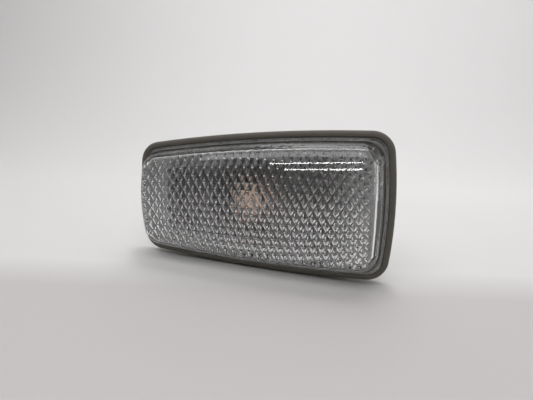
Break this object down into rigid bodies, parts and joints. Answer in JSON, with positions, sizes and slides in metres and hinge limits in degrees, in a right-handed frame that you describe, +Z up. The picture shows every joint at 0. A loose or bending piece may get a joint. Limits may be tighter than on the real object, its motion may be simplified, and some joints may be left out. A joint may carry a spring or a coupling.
{
  "type": "side repeater lamp",
  "caption": "Wing-mounted turn signal lamp: clear bowed lens with diamond optics in a rubber gasket, snap-in housing and a twist-lock holder with an amber capless bulb.",
  "frame": {"origin": "centre of the lamp's outline on the outer face of the wing panel, which is the gasket's back face", "axes": "+X along the lamp to its tall end, +Y into the wing, +Z up, so the lens looks along -Y"},
  "size_m": [0.0856, 0.053, 0.0462],
  "materials": {
    "clear_lens": "clear moulded plastic, polished",
    "gasket_rubber": "matte olive-grey rubber",
    "housing_plastic": "grey moulded plastic",
    "holder_plastic": "black moulded plastic",
    "seal_rubber": "matte black rubber",
    "amber_glass": "amber lacquered glass",
    "lead_wire": "bare wire",
    "filament_wire": "tungsten",
    "contact_metal": "tinned brass strip"
  },
  "bodies": {
    "lamp": {"lens": "clear_lens", "gasket": "gasket_rubber", "housing": "housing_plastic"},
    "holder": {"bulb_holder": "holder_plastic", "holder_seal": "seal_rubber", "bulb_glass": "amber_glass", "bulb_leads": "lead_wire", "bulb_filament": "filament_wire", "contact_live": "contact_metal", "contact_earth": "contact_metal"}
  },
  "joints": [
    {"name": "holder_twist", "type": "hinge", "parent": "lamp", "child": "holder", "pos_m": [0, 0.017, 0], "axis": [0, 1, 0], "range_deg": [0, 45]}
  ]
}
